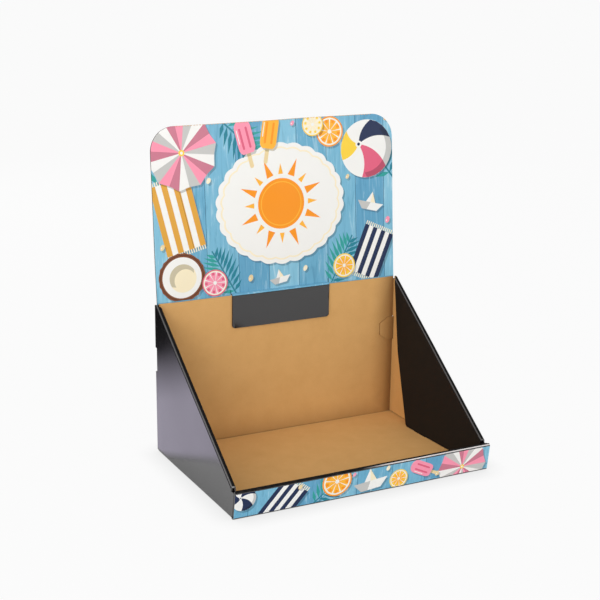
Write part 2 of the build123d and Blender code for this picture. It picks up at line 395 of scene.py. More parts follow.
def citrus(radius, skin="orange", flesh="amber"):
    parts, gap, rimGap = (citrusLook[k] for k in ("parts", "gap", "rimGap"))
    fleshFrom, fleshTo = (radius * share for share in citrusLook["flesh"])
    rimFrom, rimTo = (radius * share for share in citrusLook["rim"])
    layers = [(skin, disc(radius)), ("cream", disc(radius * citrusLook["pith"])),
              ("white", disc(radius * citrusLook["white"]))]
    for k in range(parts):
        a, b = math.tau * k / parts + gap, math.tau * (k + 1) / parts - gap
        layers.append((flesh, wedge(fleshFrom, fleshTo, a, b)))
        layers.append((skin, wedge(rimFrom, rimTo, a + rimGap, b - rimGap)))
    return layers


lollyLook = {  # width, height, rounding and place
    "round": 0.46, "foot": 0.1,
    "stick": (0.24, 0.5, 0.11, 0.0, -0.62), "stickShade": (0.24, 0.08, 0.0, 0.0, -0.49),
    "groove": (0.13, 0.6, 0.06, 0.2, -0.02), "gleam": (0.05, 0.4, 0.024, -0.38, 0.06),
}


def lolly(width, height, ice="pink", dark="rose"):
    def strip(title, side=1):
        w, h, r, x, y = lollyLook[title]
        return bar(width * w, height * h, width * r, (side * width * x, height * y))

    foot = -height / 2 + width * lollyLook["foot"]
    body = [(x, max(y, foot)) for x, y in bar(width, height, width * lollyLook["round"])]
    return [(ice, body), ("straw", strip("stick")), ("shadow", strip("stickShade")), (ice, body),
            (dark, strip("groove", -1)), (dark, strip("groove")), ("white", strip("gleam"))]


coconutLook = {"rough": 0.02, "roughWave": 2.7, "rings": (("bark", 0.94), ("brown", 0.9), ("white", 0.84)),
               "hollow": 0.58, "hollowAt": (0.04, -0.03), "shadeArc": (0.6, 3.7), "shadeScale": 0.8,
               "shadeShift": 0.1}


def coconut(radius):
    shell = []
    for k, (x, y) in enumerate(disc(radius)):
        swell = 1 + coconutLook["rough"] * math.sin(k * coconutLook["roughWave"])
        shell.append((x * swell, y * swell))
    at = tuple(radius * c for c in coconutLook["hollowAt"])
    hollow = radius * coconutLook["hollow"]
    shade = moved(arc(hollow, *coconutLook["shadeArc"], points=18), 1.0, at)
    shift = radius * coconutLook["shadeShift"]
    rim = moved(shade[::-1], coconutLook["shadeScale"], (shift, -shift))
    rings = [(ink, disc(radius * share)) for ink, share in coconutLook["rings"]]
    return [("brown", shell)] + rings + [("cream", disc(hollow, at)), ("shadow", shade + rim)]


towelLook = {"stripes": 7, "tasselPitch": 2.6, "tassel": (1.2, 4.5), "tasselOut": 2.2, "crease": (0.02, 0.19)}


def towel(width, height, ink="mustard"):
    layers = [(ink, bar(width, height))]
    each = width / towelLook["stripes"]
    for k in range(1, towelLook["stripes"], 2):
        layers.append(("white", bar(each, height, at=((k + 0.5) * each - width / 2, 0))))
    tassels = int(width / towelLook["tasselPitch"])
    for k in range(tassels):  # fringe at both ends
        x = (k + 0.5) * width / tassels - width / 2
        for end in (-1, 1):
            y = end * (height / 2 + towelLook["tasselOut"])
            layers.append(("cream", bar(*towelLook["tassel"], at=(x, y))))
    creaseWidth, creaseAt = (width * share for share in towelLook["crease"])
    return layers + [("shadow", bar(creaseWidth, height, at=(creaseAt, 0)))]


boatLook = {"foot": 0.58, "draught": -0.52, "sail": 0.36, "mast": 0.72, "keel": -0.2}


def paperBoat(size):
    foot, low, sail, mast, keel = (boatLook[k] for k in ("foot", "draught", "sail", "mast", "keel"))
    whole = [(-1.0, 0.0), (-foot, low), (foot, low), (1.0, 0.0), (sail, 0.0), (0.0, mast), (-sail, 0.0)]
    parts = [("white", whole), ("cream", [(-sail, 0.0), (sail, 0.0), (0.0, mast)]),
             ("white", [(-sail, 0.0), (0.0, 0.0), (0.0, mast)]),
             ("white", [(-1.0, 0.0), (1.0, 0.0), (foot, low), (-foot, low)]),
             ("shadow", [(-1.0, 0.0), (0.0, 0.0), (keel, low), (-foot, low)])]
    return [(ink, moved(part, size)) for ink, part in parts]


leafLook = {"pairs": 9, "stem": 0.025, "from": 0.14, "run": 0.8, "reach": 0.42, "swell": (0.2, 0.72),
            "spread": 1.12, "closing": 0.055, "half": 0.034, "belly": 0.4, "inks": ("teal", "leaf")}


def palmLeaf(length):
    pairs, belly = leafLook["pairs"], leafLook["belly"]
    swellFrom, swellRun = leafLook["swell"]
    layers = [(leafLook["inks"][0], bar(length, length * leafLook["stem"], at=(length / 2, 0)))]
    for k in range(pairs):
        along = length * (leafLook["from"] + leafLook["run"] * k / pairs)
        reach = length * leafLook["reach"] * math.sin(math.pi * (swellFrom + swellRun * k / pairs))
        for side in (1, -1):
            a = side * (leafLook["spread"] - leafLook["closing"] * k)
            tip = (along + reach * math.cos(a), reach * math.sin(a))
            half = length * leafLook["half"]
            dx, dy = half * math.sin(a) * side, -half * math.cos(a) * side
            x, y = along + (tip[0] - along) * belly, tip[1] * belly
            blade = [(along, 0.0), (x + dx, y + dy), tip, (x - dx, y - dy)]
            layers.append((leafLook["inks"][side > 0], blade))
    return layers


plateLook = {"scallops": 26, "points": 6, "bulge": 0.035, "wide": 1.16, "lines": (0.93, 0.905), "core": 0.43,
             "rays": 16, "rayFrom": 1.17, "rayTo": (0.68, 0.8), "rayHalf": (0.09, 0.13),
             "rayInks": ("amber", "orange"), "rings": (("orange", 1.0), ("amber", 0.88), ("orange", 0.84))}


def sunPlate(radius):  # white scalloped field with a plain sun
    scallops, rays = plateLook["scallops"], plateLook["rays"]
    count = scallops * plateLook["points"]
    edge = []
    for k in range(count):
        a = math.tau * k / count
        r = radius * (1 + plateLook["bulge"] * abs(math.sin(a * scallops / 2)))
        edge.append((r * plateLook["wide"] * math.cos(a), r * math.sin(a)))
    outer, inner = plateLook["lines"]
    layers = [("white", edge), ("cream", moved(edge, outer)), ("white", moved(edge, inner))]
    core = radius * plateLook["core"]
    foot = core * plateLook["rayFrom"]
    for k in range(rays):
        a = math.tau * k / rays
        half = plateLook["rayHalf"][k % 2]
        ray = [polar(foot, a - half), polar(radius * plateLook["rayTo"][k % 2], a), polar(foot, a + half)]
        layers.append((plateLook["rayInks"][k % 2], ray))
    return layers + [(ink, disc(core * share, points=56)) for ink, share in plateLook["rings"]]


pebbleLook = {"squash": 0.7, "gleamPart": 7, "gleamAt": (-0.12, 0.1), "gleamSquash": 0.6}


def pebble(length, ink):
    at = tuple(length * c for c in pebbleLook["gleamAt"])
    gleam = disc(length / pebbleLook["gleamPart"], at, points=10, squash=pebbleLook["gleamSquash"])
    return [(ink, disc(length / 2, points=18, squash=pebbleLook["squash"])), ("white", gleam)]


plankLook = {"joint": 1.1, "inkStep": 7}


def planks(width, low, high, pitch, shift):  # upright boards with a dark joint between them
    layers = []
    count = int(width / pitch) + 2
    height, centre = high - low, (low + high) / 2
    for k in range(count):
        x = (k - (count - 1) / 2) * pitch + shift
        ink = woodInks[(k * plankLook["inkStep"] + int(shift)) % len(woodInks)]
        layers.append((ink, bar(pitch, height, at=(x, centre))))
        layers.append(("gap", bar(plankLook["joint"], height, at=(x + pitch / 2, centre))))
    return layers


def placed(layers, at, turn):  # put a motif on the sheet, with its shadow under it
    c, s = math.cos(math.radians(turn)), math.sin(math.radians(turn))

    def put(spots, shift=(0, 0)):
        return [(at[0] + x * c - y * s + shift[0], at[1] + x * s + y * c + shift[1]) for x, y in spots]

    under = [("shadow", put(layers[0][1], shadowLook["shift"]))]
    return under + [(ink, put(spots)) for ink, spots in layers]


headerPrint = {  # motif, place and turn; pebbles by place, length and ink
    "plankPitch": 37.0, "plankShift": 6.0, "plankOver": 8, "pebbleTurn": 9,
    "motifs": (
        (palmLeaf(84), (-146, 118), 62), (palmLeaf(70), (-70, 196), -42), (palmLeaf(80), (150, 112), 128),
        (palmLeaf(66), (62, -6), 62), (palmLeaf(62), (-52, -4), 118), (towel(46, 78), (-119, 92), 13),
        (sunPlate(66), (4, 96), 0), (parasol(41), (-112, 160), 12), (lolly(20, 40), (-38, 172), 14),
        (lolly(20, 40, "amber", "orange"), (-8, 176), -10), (beachBall(33), (113, 150), 20),
        (citrus(17), (66, 172), 8), (citrus(13, "yellow", "cream"), (45, 181), 30),
        (coconut(27), (-117, 25), 0), (citrus(15, "rose", "pink"), (-79, 15), 0),
        (paperBoat(17), (118, 88), -14), (towel(40, 56, "navy"), (118, 30), -24),
        (citrus(14, "yellow", "amber"), (82, 18), 0), (paperBoat(13), (0, 13), 9),
    ),
    "pebbles": (
        ((-36, 16), 8, "straw"), ((32, 20), 7, "cream"), ((-138, 60), 7, "straw"), ((140, 66), 8, "pink"),
        ((88, 120), 6, "straw"), ((-82, 128), 7, "cream"), ((20, 184), 6, "pink"), ((139, 184), 7, "amber"),
    ),
}
lipPrint = {
    "plankPitch": 41.0, "plankShift": 9.0, "plankOver": 4, "pebbleTurn": 11,
    "motifs": (
        (towel(34, 60, "navy"), (-101, 2), -38), (palmLeaf(58), (-66, -4), 40), (citrus(17), (-36, 20), 10),
        (paperBoat(20), (4, 13), 6), (citrus(11, "yellow", "amber"), (38, 9), 0),
        (lolly(15, 30), (66, 16), 64), (parasol(30), (117, 8), 0),
        (beachBall(13, ("navy", "white") * 3), (-140, 20), 20),
    ),
    "pebbles": (
        ((-78, 22), 6, "straw"), ((-16, 24), 5, "pink"), ((24, 24), 6, "cream"), ((86, 6), 6, "straw"),
    ),
}


def drawSheet(look, width, height):
    over = look["plankOver"]
    sheet = planks(width, -over, height + over, look["plankPitch"], look["plankShift"])
    for motif, at, turn in look["motifs"]:
        sheet += placed(motif, at, turn)
    for at, length, ink in look["pebbles"]:
        sheet += placed(pebble(length, ink), at, length * look["pebbleTurn"])
    return sheet


def inside(spot, outline):
    x, y = spot
    hit = False
    for (ax, ay), (bx, by) in zip(outline, outline[1:] + outline[:1]):
        if (ay > y) != (by > y) and x < ax + (bx - ax) * (y - ay) / (by - ay):
            hit = not hit
    return hit


plain = ((1.0, 1.0, 1.0, 1.0), 0.0)  # colour, and whether the grain of wood shows


def inkAt(spot, fields):  # colour of a field: the topmost ink, darker where a shadow lies over it
    depth = 1.0
    for ink, outline, (left, low, right, high) in fields:
        if left < spot[0] < right and low < spot[1] < high and inside(spot, outline):
            if ink != "shadow":
                return tuple(c * depth for c in tint(inks[ink])[:3]) + (1.0,), float(ink in woodInks)
            depth = shadowLook["depth"]
    return plain


# folded board: a copy of a CAD node, sorted into its two faces and its cut edges

foldLook = {"weldGap": 2e-6, "faceTurn": math.radians(30.0), "leastBend": 0.05, "stripWidth": 0.0006,
            "bandWidth": 0.0042, "gridStep": 0.014}
faceLook = {"level": 0.99, "parallel": 0.9995, "touch": 1e-5, "flush": 1e-4}  # which faces lie in one plane
cutLook = {"fieldGap": 1e-5, "rimGap": 2e-4, "planeGap": 1e-7}
bentStrip, flatBand = 1, 2
acrossBoard = Vector((1, 0, 0))


def middle(face):
    return face.calc_center_median()


def layersOf(bm):
    return [bm.faces.layers.int[title] for title in ("slot", "fold", "inkNumber")]


def weldedCopy(node):
    bm = bmesh.new()
    bm.from_mesh(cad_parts[node].data)
    bmesh.ops.remove_doubles(bm, verts=bm.verts, dist=foldLook["weldGap"])
    for title in ("slot", "fold", "inkNumber"):
        bm.faces.layers.int.new(title)
    bm.normal_update()
    bm.verts.index_update()
    bm.faces.index_update()
    return bm


def sideOf(seeds):  # every face that a finger reaches without crossing a cut edge
    found, queue = set(seeds), list(seeds)
    while queue:
        for edge in queue.pop().edges:
            if edge.calc_face_angle(math.tau) < foldLook["faceTurn"]:
                fresh = [f for f in edge.link_faces if f not in found]
                found.update(fresh)
                queue.extend(fresh)
    return found


def sortBoard(bm, frontSeeds, rearSeeds):
    slotLayer, foldLayer, _ = layersOf(bm)
    front, rear = sideOf(frontSeeds), sideOf(rearSeeds)
    for face in bm.faces:
        face[slotLayer] = blackSlot if face in front else kraftSlot if face in rear else edgeSlot
        turns = [e.calc_face_angle(0.0) for e in face.edges]
        bends = any(foldLook["leastBend"] < turn < foldLook["faceTurn"] for turn in turns)
        width = 2 * face.calc_area() / max(e.calc_length() for e in face.edges)
        if face[slotLayer] != edgeSlot and width < foldLook["bandWidth"]:
            face[foldLayer] = bentStrip if bends and width < foldLook["stripWidth"] else flatBand
    return front


def rimOf(region):  # the corners around a patch of faces, in order
    following = {}
    for face in region:
        for loop in face.loops:
            if not all(f in region for f in loop.edge.link_faces):
                following[loop.vert] = loop.link_loop_next.vert
    walk = [min(following, key=lambda v: v.index)]
    while following[walk[-1]] != walk[0]:
        walk.append(following[walk[-1]])
    return walk


def printOn(bm, region, up, look, width):  # cut the patch into the fields of the picture
    slotLayer, _, inkLayer = layersOf(bm)
    foot = min((v.co for f in region for v in f.verts), key=lambda c: c.z)
    origin = Vector((0, foot.y, foot.z))
    height = max((v.co - origin).dot(up) for f in region for v in f.verts) / mm
    layers = drawSheet(look, width / mm, height)
    region = set(region)
    walk = rimOf(region)
    ways = [v.co - origin for v in walk]
    flat = [Vector((way.dot(acrossBoard) / mm, way.dot(up) / mm)) for way in ways]
    coords, edges = [], []
    for outline in [flat] + [spots for _, spots in layers]:
        first, count = len(coords), len(outline)
        edges += [(first + k, first + (k + 1) % count) for k in range(count)]
        coords += [Vector(p) for p in outline]
    spots, _, cells, fromVerts, _, _ = delaunay_2d_cdt(coords, edges, [], 0, cutLook["fieldGap"])
    rimLine = [tuple(p) for p in flat]
    centres = [tuple((spots[a] + spots[b] + spots[c]) / 3) for a, b, c in cells]
    kept = [(cell, spot) for cell, spot in zip(cells, centres) if inside(spot, rimLine)]
    fields = []
    for ink, outline in reversed(layers):
        xs, ys = [p[0] for p in outline], [p[1] for p in outline]
        fields.append((ink, [tuple(p) for p in outline], (min(xs), min(ys), max(xs), max(ys))))
    used = sorted({i for cell, _ in kept for i in cell})
    known, onRim = {}, {}
    for i in used:
        home = [k for k in fromVerts[i] if k < len(walk)]
        if home:
            known[i] = walk[home[0]]
            continue
        for k, a in enumerate(flat):
            way = flat[(k + 1) % len(flat)] - a
            share = (spots[i] - a).dot(way) / way.length_squared
            if 0 < share < 1 and (a + way * share - spots[i]).length < cutLook["rimGap"]:
                onRim.setdefault(k, []).append((share, i))
                break
    bmesh.ops.delete(bm, geom=sorted(region, key=lambda f: f.index), context="FACES")
    for k, marks in onRim.items():  # the neighbour across the rim gets the same points
        last, goal, done = walk[k], walk[(k + 1) % len(walk)], 0.0
        for share, i in sorted(marks):
            edge = bm.edges.get((last, goal))
            _, fresh = bmesh.utils.edge_split(edge, last, (share - done) / (1 - done))
            known[i], last, done = fresh, fresh, share
    for i in used:
        if i not in known:
            known[i] = bm.verts.new(origin + acrossBoard * (spots[i].x * mm) + up * (spots[i].y * mm))
    tints = []
    for cell, spot in kept:
        face = bm.faces.new([known[i] for i in cell])
        colour = inkAt(spot, fields)
        if colour not in tints:
            tints.append(colour)
        face[slotLayer] = pictureSlot
        face[inkLayer] = tints.index(colour)
    return tints


def cutAcross(bm, spot, normal):
    parts = bm.verts[:] + bm.edges[:] + bm.faces[:]
    bmesh.ops.bisect_plane(bm, geom=parts, plane_co=spot, plane_no=normal, dist=cutLook["planeGap"])


def gridCut(bm, low, high):  # enough points for a panel to bend a little
    for axis in range(3):
        normal = Vector([float(axis == k) for k in range(3)])
        count = int((high[axis] - low[axis]) / foldLook["gridStep"])
        for k in range(1, count):
            cutAcross(bm, Vector(low) + normal * ((high[axis] - low[axis]) * k / count), normal)


settleLook = {"bow": 0.0011, "wave": 4.2, "ripple": 0.00035, "rippleWave": 17.0, "freeFrom": 0.05,
              "seeds": (Vector((3.1, 7.7, 1.9)), Vector((13.4, 2.6, 8.2)), Vector((6.3, 11.8, 15.5)))}


def settled(spot):  # board is never quite flat: a slow drift of space, so that layers stay apart
    slow = Vector([noise.noise(spot * settleLook["wave"] + seed) for seed in settleLook["seeds"]])
    quick = Vector([noise.noise(spot * settleLook["rippleWave"] + seed) for seed in settleLook["seeds"]])
    drift = slow * settleLook["bow"] + quick * settleLook["ripple"]
    drift.z *= min(1.0, max(0.0, spot.z) / settleLook["freeFrom"])  # the base stays on the ground
    return spot + drift


edgeCut = {"liner": 0.00032, "depth": 0.0005, "wall": 1e-6, "paper": 0.00018, "sunk": 6e-5, "slack": 2e-5,
           "wavePoints": 17}


def openEdge(bm, run):  # a straight cut edge opened into two liners with a groove between them
    slotLayer, _, _ = layersOf(bm)
    spots = [v.co for f in run for v in f.verts]
    centre = sum(spots, Vector()) / len(spots)
    length = max(c.x for c in spots) - min(c.x for c in spots)
    steps = ((edgeCut["liner"], 0.0), (edgeCut["wall"], -edgeCut["depth"]))
    opened = list(run)
    for thickness, depth in steps:
        inset = bmesh.ops.inset_region(bm, faces=run, thickness=thickness, depth=depth,
                                       use_even_offset=True, use_boundary=True)
        opened += inset["faces"]
    for face in opened:
        face[slotLayer] = kraftSlot
    return Vector((0.0, centre.y, centre.z)), length


def bakedMesh(piece, name):  # the piece keeps what its modifiers made, and loses them
    evaluated = piece.evaluated_get(bpy.context.evaluated_depsgraph_get())
    piece.data = bpy.data.meshes.new_from_object(evaluated)
    piece.modifiers.clear()
    piece.data.name = name


def finishBoard(bm, name, node, tints, kindOf, marksOf):
    slotLayer, foldLayer, inkLayer = layersOf(bm)
    gridCut(bm, *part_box(node))
    marks = {title: [] for title in ("flutePhase", "across", "foldShadeAndWear", "wood", "cornerShade", "paintedFoldHighlight", "ink")}
    touching = {}
    for face in bm.faces:
        for vert in face.verts:
            touching.setdefault(vert, set()).add(face[slotLayer])
    bm.normal_update()
    for face in bm.faces:
        slot, fold = face[slotLayer], face[foldLayer]
        alongHeight, blackKind = kindOf(face)
        face.material_index = blackKind if slot == blackSlot else slot
        face.smooth = True
        colour, wood = tints[face[inkLayer]] if slot == pictureSlot else plain
        for vert in face.verts:
            kinds = touching[vert]
            cornerShade, paintedHighlight, crease = marksOf(vert.co, face.normal)
            marks["flutePhase"].append(0.0 if fold else vert.co.z if alongHeight else vert.co.x)
            marks["across"].append(-1.0 if kraftSlot in kinds else 1.0 if kinds - {edgeSlot} else 0.0)
            # the fold mark gives the kraft its painted crease shade and the print its wear along the folds
            marks["foldShadeAndWear"].append(max(crease, float(fold == bentStrip)))
            marks["wood"].append(wood)
            marks["cornerShade"].append(cornerShade if slot == kraftSlot else 0.0)
            marks["paintedFoldHighlight"].append(paintedHighlight)
            marks["ink"].extend(colour)
    for vert in bm.verts:
        vert.co = settled(vert.co)
    mesh = bpy.data.meshes.new(name)
    bm.to_mesh(mesh)
    bm.free()
    for title, values in marks.items():
        kind, field = ("FLOAT_COLOR", "color") if title == "ink" else ("FLOAT", "value")
        mesh.attributes.new(title, kind, "CORNER").data.foreach_set(field, values)
    for mat in boardMaterials:
        mesh.materials.append(mat)
    mesh.set_sharp_from_angle(angle=foldLook["faceTurn"])
    piece = bpy.data.objects.new(name, mesh)
    scene.collection.objects.link(piece)
    piece.modifiers.new("evenNormals", "WEIGHTED_NORMAL").keep_sharp = True
    bakedMesh(piece, name)
    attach(piece, "root")
    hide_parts(node)
    print(name, "faces:", len(piece.data.polygons))


# the wave of paper inside the board, where a cut edge lies open

def makeFluteTree():
    tree = bpy.data.node_groups.new("fluteRow", "GeometryNodeTree")
    tree.interface.new_socket("Geometry", in_out="INPUT", socket_type="NodeSocketGeometry")
    kinds = {"Pitch": "Float", "Count": "Int", "Swing": "Float", "Depth": "Float", "Paper": "Float",
             "Material": "Material"}
    for title, kind in kinds.items():
        tree.interface.new_socket(title, in_out="INPUT", socket_type="NodeSocket" + kind)
    tree.interface.new_socket("Geometry", in_out="OUTPUT", socket_type="NodeSocketGeometry")
    given = tree.nodes.new("NodeGroupInput").outputs

    def step(kind, sockets, **settings):
        return addNode(tree, kind, sockets, **settings).outputs[0]

    pitch = step("ShaderNodeCombineXYZ", {"X": given["Pitch"]})
    line = step("GeometryNodeCurvePrimitiveLine", {"End": pitch})
    dense = step("GeometryNodeResampleCurve", {"Curve": line, "Count": edgeCut["wavePoints"]})
    along = step("ShaderNodeSeparateXYZ", {"Vector": step("GeometryNodeInputPosition", {})})
    turn = calc(tree, "MULTIPLY", calc(tree, "DIVIDE", along, given["Pitch"]), math.tau)
    lift = calc(tree, "MULTIPLY", calc(tree, "SINE", turn), given["Swing"])
    shift = step("ShaderNodeCombineXYZ", {"Y": lift})
    wave = step("GeometryNodeSetPosition", {"Geometry": dense, "Offset": shift})
    upright = step("GeometryNodeSetCurveNormal", {"Curve": wave}, mode="Z_UP")
    sides = {"Width": given["Paper"], "Height": given["Depth"]}
    section = step("GeometryNodeCurvePrimitiveQuadrilateral", sides)
    cell = step("GeometryNodeCurveToMesh", {"Curve": upright, "Profile Curve": section})
    row = step("GeometryNodeMeshLine", {"Count": given["Count"], "Offset": pitch})
    cells = step("GeometryNodeInstanceOnPoints", {"Points": row, "Instance": cell})
    real = step("GeometryNodeRealizeInstances", {"Geometry": cells})
    joined = step("GeometryNodeMergeByDistance", {"Geometry": real, "Distance": foldLook["weldGap"]})
    paper = step("GeometryNodeSetMaterial", {"Geometry": joined, "Material": given["Material"]})
    addNode(tree, "NodeGroupOutput", {"Geometry": paper})
    return tree


fluteTree = makeFluteTree()


def makeFlutes(name, centre, length, up):
    liner, paper, depth = (edgeCut[k] for k in ("liner", "paper", "depth"))
    count = int((length - 2 * liner) / flutePitch)
    values = {"Pitch": flutePitch, "Count": count, "Paper": paper, "Depth": depth - edgeCut["sunk"],
              "Swing": boardThickness / 2 - liner - paper / 2 - edgeCut["slack"], "Material": kraft}
    piece = bpy.data.objects.new(name, bpy.data.meshes.new(name))
    scene.collection.objects.link(piece)
    row = piece.modifiers.new("fluteRow", "NODES")
    row.node_group = fluteTree
    for item in fluteTree.interface.items_tree:
        if item.in_out == "INPUT" and item.name in values:
            row[item.identifier] = values[item.name]
    bakedMesh(piece, name)
    turn = Matrix((acrossBoard, up.cross(acrossBoard), up)).transposed()
    start = centre - acrossBoard * (count * flutePitch / 2) - up * (depth / 2)
    bm = bmesh.new()
    bm.from_mesh(piece.data)
    for vert in bm.verts:
        vert.co = settled(start + turn @ vert.co)
    bmesh.ops.holes_fill(bm, edges=[e for e in bm.edges if e.is_boundary], sides=4)
    bmesh.ops.recalc_face_normals(bm, faces=bm.faces)
    bm.to_mesh(piece.data)
    bm.free()
    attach(piece, "root")
    print(name, "flutes:", count, "faces:", len(piece.data.polygons))


# the tray: sideways, upright, tilts and turns below are parts of a face's normal

trayLook = {"rake": 8.0, "foldInset": 0.0041, "lipDepth": 0.0095, "sideFrom": 0.0062, "sideLean": 0.012,
            "blackedEnd": 0.03, "rollInset": 0.0025, "sideways": 0.5, "upright": 0.7}
# how far and how dark the painted corner shade reaches; the right end of the wall is painted far darker than
# the left
cornerShadeLook = {"reach": 0.03, "floorReach": 0.013, "creaseReach": 0.003, "wallDepth": 0.006, "left": 0.3,
            "right": 1.55, "floor": 0.3}
# where the lip's rolled top gets its painted highlight, from the middle, full 25 mm further right
lipLook = {"highlightFrom": 0.0, "highlightFull": 0.025, "depth": 0.004, "tilt": (0.42, 0.82)}
ridgeLook = {  # the rolled top edges of the sides: the outline keys pick a band on the left ridge that takes the darkest black as painted shade, and other keys place painted highlights
    "depth": 0.006, "tilt": 0.3, "from": {"left": 0.26, "right": 0.4},
    "outline": (0.8, 0.985), "outlineTilt": 0.1, "highlightTilt": 0.15,
    "rightHighlight": 0.13, "rightTurn": (0.35, 0.85), "leftHighlight": 0.15, "leftReach": 0.25,
    "endHighlight": 0.16, "endFacing": 0.9, "endDepth": (0.008, 0.012), "endAbove": 0.026,
}


def nearness(gap, within):  # falls from 1 at the place itself to 0 at the distance "within"
    return max(0.0, 1 - max(0.0, gap) / within)


def makeTray():
    bm = weldedCopy("display_tray")
    low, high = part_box("display_tray")
    level, touch = faceLook["level"], faceLook["touch"]
    under = [f for f in bm.faces if f.normal.z < -level and middle(f).z < touch]
    floor = [f for f in bm.faces if f.normal.z > level and abs(middle(f).z - boardThickness) < touch]
    front = sortBoard(bm, under, floor)
    rake = math.radians(trayLook["rake"])
    up = Vector((0, -math.sin(rake), math.cos(rake)))
    out = acrossBoard.cross(up)
    facing = [f for f in front if f.normal.dot(out) > faceLook["parallel"]]
    outermost = max(middle(f).dot(out) for f in facing) - faceLook["flush"]
    lip = [f for f in facing if middle(f).dot(out) > outermost]  # not the flaps tucked behind it
    tints = printOn(bm, lip, up, lipPrint, high.x - low.x)
    print("lip printed in", len(tints), "tints")
    wallY = max(v.co.y for v in bm.verts) - boardThickness
    wallX = high.x - trayLook["foldInset"]

    def kindOf(face):  # the sides were cut with their flutes running front to back
        spot, normal = middle(face), face.normal
        behindLip = abs(normal.x) > trayLook["sideways"] or spot.y > low.y + trayLook["lipDepth"]
        inward = trayLook["sideFrom"] + trayLook["sideLean"] * (1 - spot.z / high.z)
        onSide = behindLip and abs(spot.x) > high.x - inward and abs(normal.y) < trayLook["upright"]
        outward = normal.x * math.copysign(1.0, spot.x)
        start, end = ridgeLook["outline"]
        outlined = spot.x < 0 and normal.z > ridgeLook["outlineTilt"] and start < outward < end
        rolledOver = outward < ridgeLook["from"]["left" if spot.x < 0 else "right"]
        # the darkest black as painted shade on the rolled tops and on an outline band of the left ridge only;
        # inward faces of the sides take the shaded rolled copy
        if outlined or normal.z > ridgeLook["tilt"] and rolledOver:
            return onSide, ridgeSlot
        return onSide, rolledSlot if onSide and outward < trayLook["sideways"] else blackSlot

    def shadeOf(spot, normal):  # painted shade in the corners and creases of wall and base, much stronger at the wall's right end than at its left
        gap = wallX - abs(spot.x)
        if normal.y < -trayLook["upright"] and spot.y > wallY - cornerShadeLook["wallDepth"]:
            beside = cornerShadeLook["right" if spot.x > 0 else "left"] * nearness(gap, cornerShadeLook["reach"])
            cornerShade = max(nearness(spot.z - boardThickness, cornerShadeLook["reach"]), beside)
            return cornerShade, nearness(gap, cornerShadeLook["creaseReach"])
        if normal.z > trayLook["upright"]:
            return cornerShadeLook["floor"] * nearness(wallY - spot.y, cornerShadeLook["floorReach"]), 0.0
        return 0.0, 0.0

    def paintedHighlightAt(spot, normal):  # painted highlights: a pale line on the right half of the lip's rolled top, pale lines along the ridges, fading upwards on the left one, and a pale spot at the left ridge's front end
        fromFront = spot.y - low.y
        least, most = lipLook["tilt"]
        if spot.y < low.y + lipLook["depth"] and normal.y < 0 and least < normal.z < most:
            span = lipLook["highlightFull"] - lipLook["highlightFrom"]
            return min(1.0, max(0.0, (spot.x - lipLook["highlightFrom"]) / span))
        onRidge = abs(spot.x) > wallX - ridgeLook["depth"]
        if onRidge and normal.z > ridgeLook["highlightTilt"]:
            least, most = ridgeLook["rightTurn"]
            if spot.x > 0 and least < -normal.x < most:
                return ridgeLook["rightHighlight"]
            if spot.x < 0 and ridgeLook["from"]["left"] < -normal.x < ridgeLook["outline"][0]:
                return ridgeLook["leftHighlight"] * nearness(spot.z, ridgeLook["leftReach"])
            return 0.0
        start, end = ridgeLook["endDepth"]
        atEnd = normal.y < -ridgeLook["endFacing"] and start < fromFront < end
        if onRidge and spot.x < 0 and atEnd and spot.z > ridgeLook["endAbove"]:
            return ridgeLook["endHighlight"]
        return 0.0

    def marksOf(spot, normal):
        cornerShade, crease = shadeOf(spot, normal)
        return cornerShade, paintedHighlightAt(spot, normal), crease

    def cutBeside(gap):
        for side in (1, -1):
            cutAcross(bm, Vector((side * (wallX - gap), 0, 0)), acrossBoard)

    cutBeside(cornerShadeLook["reach"])  # edges where the shading starts
    cutAcross(bm, Vector((0, wallY - cornerShadeLook["floorReach"], 0)), Vector((0, 1, 0)))
    cutAcross(bm, Vector((0, 0, boardThickness + cornerShadeLook["reach"])), Vector((0, 0, 1)))
    cutBeside(cornerShadeLook["creaseReach"])
    blackedTo = low.y + trayLook["blackedEnd"]
    cutAcross(bm, Vector((0, blackedTo, 0)), Vector((0, 1, 0)))
    slotLayer, foldLayer, _ = layersOf(bm)
    blackedDepth = {edgeSlot: trayLook["blackedEnd"], kraftSlot: trayLook["rollInset"]}
    for face in bm.faces:
        spot, slot = middle(face), face[slotLayer]
        depth = blackedDepth.get(slot, 0.0)
        above = spot.z > boardThickness - faceLook["flush"] or slot == edgeSlot
        if depth and spot.y < blackedTo and above and abs(spot.x) > wallX - depth:
            face[slotLayer] = blackSlot  # at the lip's ends the cut edges, and the kraft just inside the rolled sides, take the black print and show dark
        onWall = wallY - 2 * boardThickness < spot.y < wallY
        onTab = onWall and spot.z > cornerShadeLook["reach"] and abs(spot.x) < wallX
        if face[slotLayer] == edgeSlot and onTab:
            face[slotLayer] = kraftSlot  # the lock tabs' cut edges show as a fine line of painted crease shade
            face[foldLayer] = bentStrip
    edges = [f for f in bm.faces if f[slotLayer] == edgeSlot and f.normal.z > level]
    top = [f for f in edges if middle(f).z > high.z - touch and abs(middle(f).x) < wallX]
    centre, length = openEdge(bm, top)
    finishBoard(bm, "folded_tray", "display_tray", tints, kindOf, marksOf)
    makeFlutes("wall_flutes", centre, length, Vector((0, 0, 1)))


# the header card: tabTop, tabFold and edgeTurn are parts of a face's normal

headerLook = {"lean": 4.75, "tabHalf": 0.0605, "tabTop": 0.3, "tabFold": 0.05, "earInk": "plankB",
              "edgeTurn": 0.9999, "edgeDepth": 0.002}


